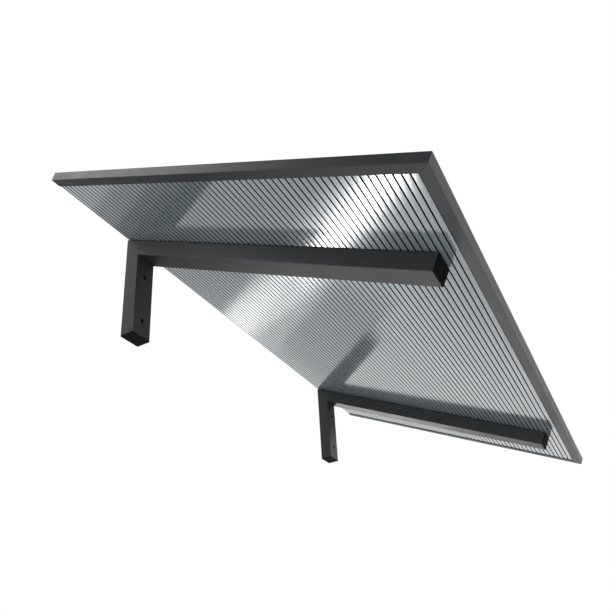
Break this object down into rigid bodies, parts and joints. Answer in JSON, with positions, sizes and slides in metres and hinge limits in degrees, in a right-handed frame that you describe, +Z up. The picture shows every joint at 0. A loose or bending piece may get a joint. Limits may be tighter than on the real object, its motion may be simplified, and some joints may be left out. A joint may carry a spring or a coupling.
{
  "type": "door canopy",
  "caption": "Sloping flat door canopy: a grooved grey roof sheet in a mitred dark metal edge frame, on L-shaped tube brackets that bolt to the wall and shelter a doorway.",
  "frame": {"origin": "in the wall plane at mid-width, on the rear lower edge of the edge frame, which is also the rear top edge of the bracket arms", "axes": "+X along the wall, to the right seen from the front; +Y into the wall, so the canopy reaches out towards -Y; +Z up"},
  "size_m": [1.6, 0.8717, 0.4462],
  "materials": {
    "frame_coat": "anthracite powder coat, fine texture, satin",
    "bracket_coat": "anthracite powder coat, fine texture, satin",
    "panel_sheet": "glossy smoke-grey sheet with fine grooves",
    "cap_plastic": "matt black moulded plastic",
    "seal_rubber": "black rubber",
    "bare_aluminium": "mill finish",
    "foil_tape": "aluminium sealing tape",
    "screw_steel": "plain stainless steel"
  },
  "bodies": {
    "root": {"front_profile": "frame_coat", "left_profile": "frame_coat", "right_profile": "frame_coat", "left_bracket_arm": "bracket_coat", "left_bracket_leg": "bracket_coat", "right_bracket_arm": "bracket_coat", "right_bracket_leg": "bracket_coat", "roof_panel": "panel_sheet", "left_arm_cap": "cap_plastic", "left_leg_cap": "cap_plastic", "right_arm_cap": "cap_plastic", "right_leg_cap": "cap_plastic", "front_gasket": "seal_rubber", "left_gasket": "seal_rubber", "right_gasket": "seal_rubber", "left_arm_strip": "seal_rubber", "right_arm_strip": "seal_rubber", "left_corner_angle": "bare_aluminium", "right_corner_angle": "bare_aluminium", "left_end_tape": "foil_tape", "right_end_tape": "foil_tape", "left_panel_screw_1": "screw_steel", "left_panel_screw_2": "screw_steel", "left_panel_screw_3": "screw_steel", "left_sealing_washer_1": "screw_steel", "left_sealing_washer_2": "screw_steel", "left_sealing_washer_3": "screw_steel", "right_panel_screw_1": "screw_steel", "right_panel_screw_2": "screw_steel", "right_panel_screw_3": "screw_steel", "right_sealing_washer_1": "screw_steel", "right_sealing_washer_2": "screw_steel", "right_sealing_washer_3": "screw_steel"}
  },
  "joints": []
}
